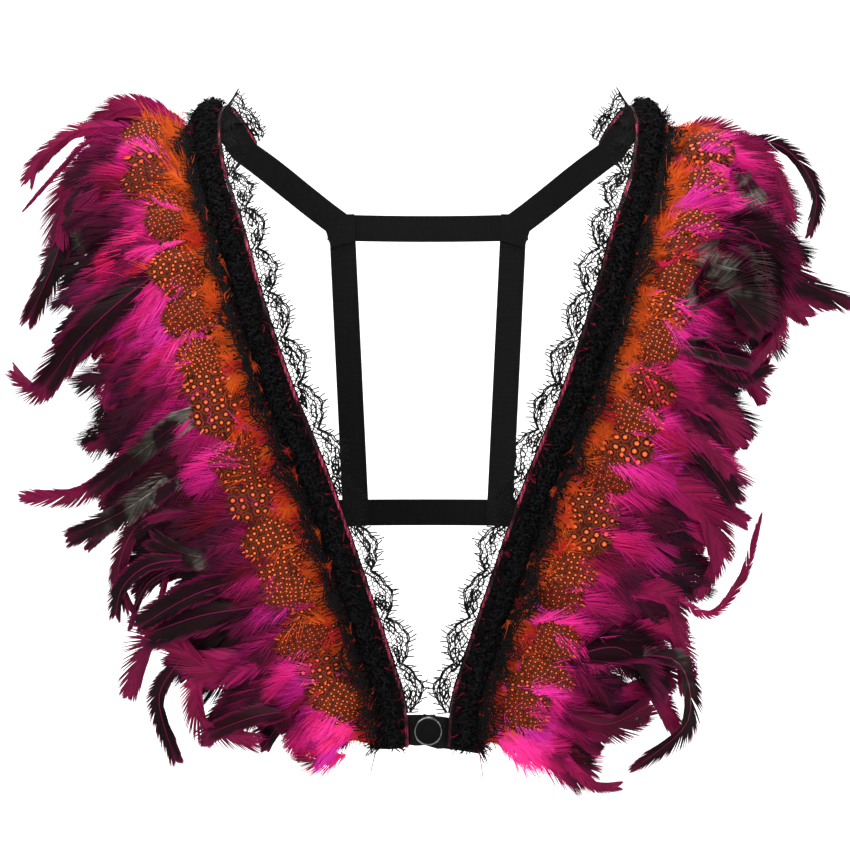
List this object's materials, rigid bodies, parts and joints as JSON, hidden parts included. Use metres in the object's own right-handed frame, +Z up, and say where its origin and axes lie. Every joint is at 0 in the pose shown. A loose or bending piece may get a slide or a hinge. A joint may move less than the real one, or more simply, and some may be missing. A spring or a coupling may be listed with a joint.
{
  "type": "feather epaulette harness",
  "caption": "Worn harness: feather epaulettes on bands from a front press stud over the shoulders, joined by an open elastic back frame and an underarm strap.",
  "frame": {"origin": "midway between the two points where the bands cross the wearer's shoulders", "axes": "+X to the wearer's left, -Y to the chest side, +Z up"},
  "size_m": [0.5819, 0.2134, 0.4619],
  "materials": {
    "ribbon": "black grosgrain ribbon",
    "pink_piping": "rose pink satin edge",
    "black_boucle": "matte black looped fuzz",
    "black_lace": "black eyelash lace",
    "spotted_feather": "orange dyed spotted feathers",
    "magenta_feather": "magenta dyed soft feathers",
    "dark_feather": "burgundy to black cock feathers with a green sheen",
    "elastic": "black woven elastic",
    "gunmetal": "dark polished steel"
  },
  "bodies": {
    "root": {"back_side_bar_left": "elastic", "back_side_bar_right": "elastic", "back_top_bar": "elastic", "band_left": "ribbon", "band_right": "ribbon", "coque_row_left": "dark_feather", "coque_row_right": "dark_feather", "front_snap": "gunmetal", "front_tab_left": "elastic", "front_tab_right": "elastic", "fur_trim_left": "black_boucle", "fur_trim_right": "black_boucle", "hackle_row_left": "magenta_feather", "hackle_row_right": "magenta_feather", "lace_left": "black_lace", "lace_right": "black_lace", "piping_left": "pink_piping", "piping_right": "pink_piping", "shoulder_strap_left": "elastic", "shoulder_strap_right": "elastic", "spotted_row_left": "spotted_feather", "spotted_row_right": "spotted_feather", "underarm_strap": "elastic"}
  },
  "joints": []
}
